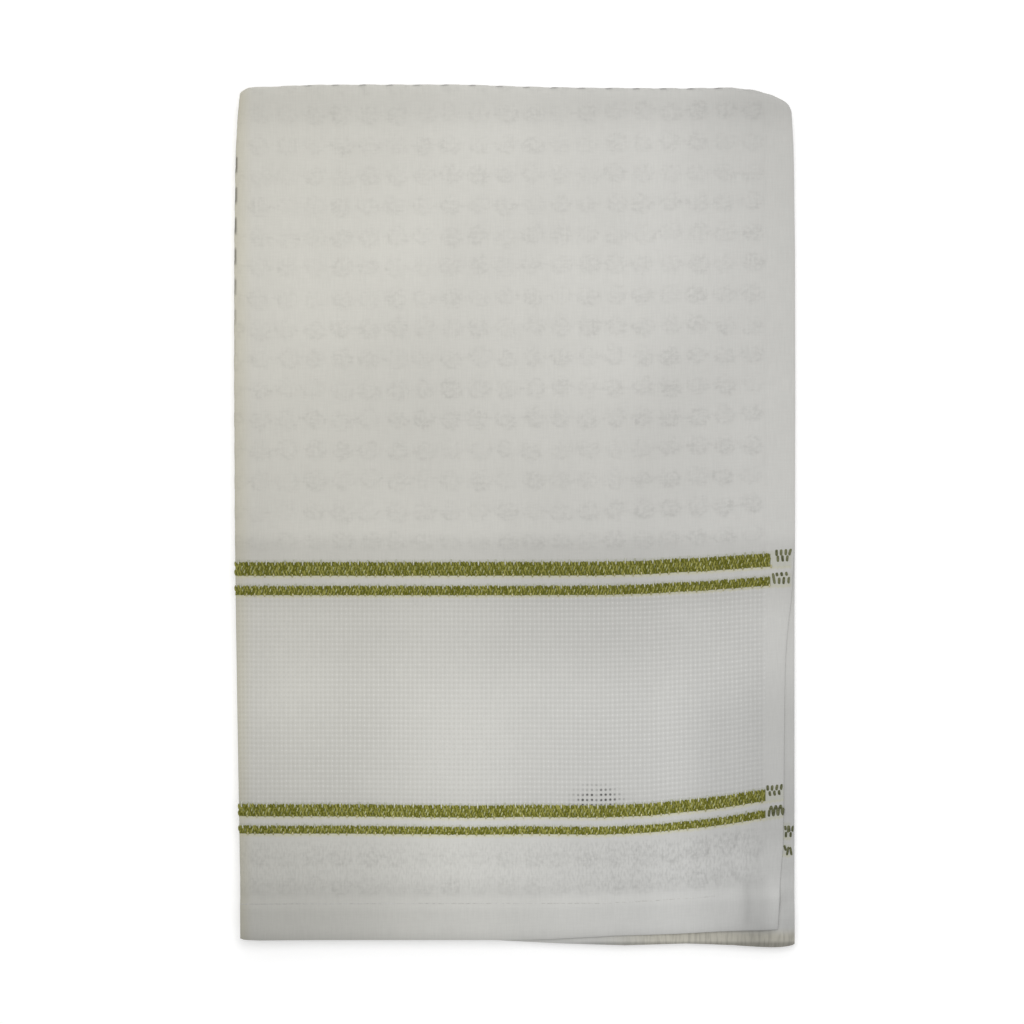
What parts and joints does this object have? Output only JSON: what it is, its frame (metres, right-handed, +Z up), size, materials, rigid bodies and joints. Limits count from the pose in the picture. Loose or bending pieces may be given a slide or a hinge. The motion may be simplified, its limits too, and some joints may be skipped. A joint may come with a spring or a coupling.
{
  "type": "folded tea towel",
  "caption": "Hemmed cotton tea towel with a plain even-weave band between olive stripes, folded into quarters and lying flat.",
  "frame": {"origin": "middle of the folded towel's underside, on the table", "axes": "+X across the towel to its selvedges, +Y to the crosswise fold at the top, +Z up through the plies"},
  "size_m": [0.2109, 0.3245, 0.008],
  "materials": {
    "cotton": "matt bleached cotton, raised huck weave",
    "olive_yarn": "olive cotton weft with a slight silky sheen"
  },
  "bodies": {
    "root": {"towel_cloth": "cotton"}
  },
  "joints": []
}
